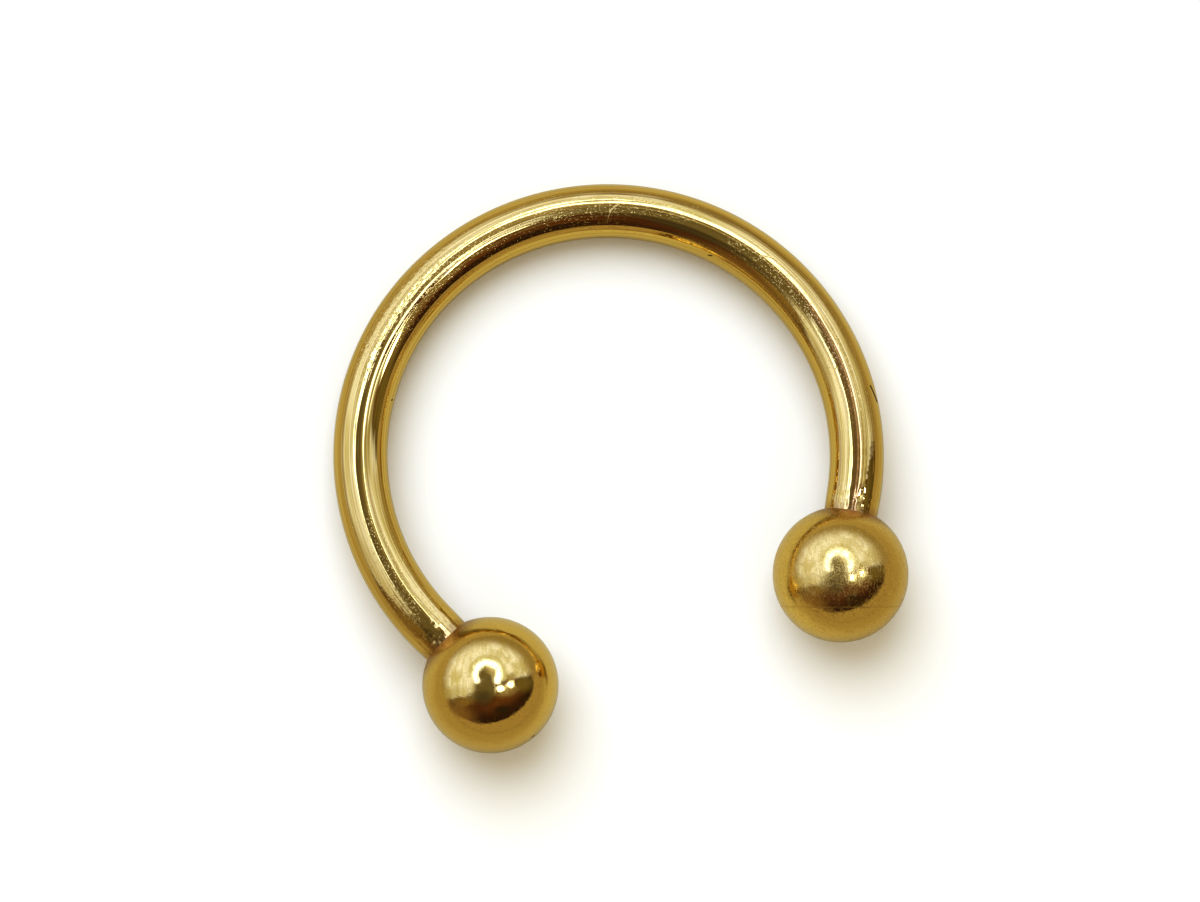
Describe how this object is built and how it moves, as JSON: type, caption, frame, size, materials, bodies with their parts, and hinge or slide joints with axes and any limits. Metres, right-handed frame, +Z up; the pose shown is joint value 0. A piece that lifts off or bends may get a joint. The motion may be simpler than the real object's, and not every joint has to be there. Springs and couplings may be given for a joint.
{
  "type": "horseshoe barbell",
  "caption": "Round gold bar bent to an open ring, with a screw-on ball at each end; a curved piercing barbell lying flat.",
  "frame": {"origin": "middle of the footprint, on the surface that the barbell lies on", "axes": "+Z up from that surface, +Y from the opening between the balls to the back of the bend, X across the opening from the left ball to the right"},
  "size_m": [0.0122, 0.0116, 0.003],
  "materials": {
    "bar_gold": "polished yellow gold with fine lengthwise hairlines",
    "ball_gold": "polished yellow gold with light satin wear"
  },
  "bodies": {
    "bar": {"bar": "bar_gold"},
    "ball_left": {"ball_left": "ball_gold"},
    "ball_right": {"ball_right": "ball_gold"}
  },
  "joints": [
    {"name": "ball_left_unscrew", "type": "slide", "parent": "bar", "child": "ball_left", "axis": [0.4617, -0.8831, 0.0831], "range_m": [0, 0.0024]},
    {"name": "ball_right_unscrew", "type": "slide", "parent": "bar", "child": "ball_right", "axis": [-0.4617, -0.8831, 0.0831], "range_m": [0, 0.0024]}
  ]
}
